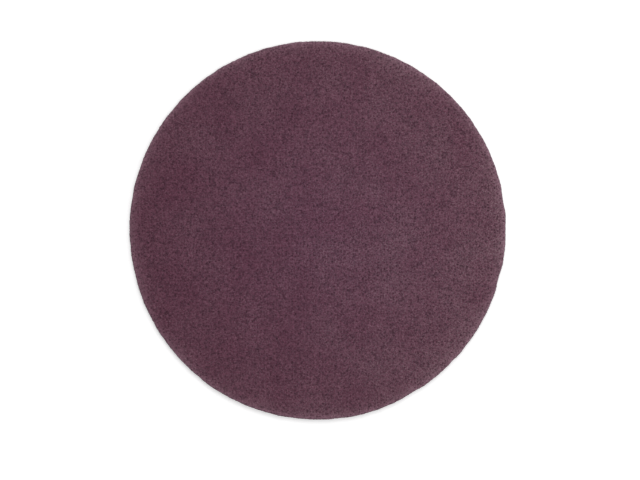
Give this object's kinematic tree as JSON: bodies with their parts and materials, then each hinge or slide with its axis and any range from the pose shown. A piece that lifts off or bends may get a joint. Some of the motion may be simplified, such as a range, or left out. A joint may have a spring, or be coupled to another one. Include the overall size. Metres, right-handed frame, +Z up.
{
  "type": "floor machine pad",
  "caption": "Thin round nonwoven pad that lies under a floor machine and rubs the floor, with two like working faces and a plain centre.",
  "frame": {"origin": "centre of the face that lies on the floor", "axes": "+Z up through the pad's thickness, from the floor face to the driver face; +Y towards the top of the picture"},
  "size_m": [0.4306, 0.4332, 0.0065],
  "materials": {
    "fibre_web": "matte maroon nonwoven nylon web, resin bonded and loaded with fine abrasive"
  },
  "bodies": {
    "root": {"fibre_pad": "fibre_web"}
  },
  "joints": []
}
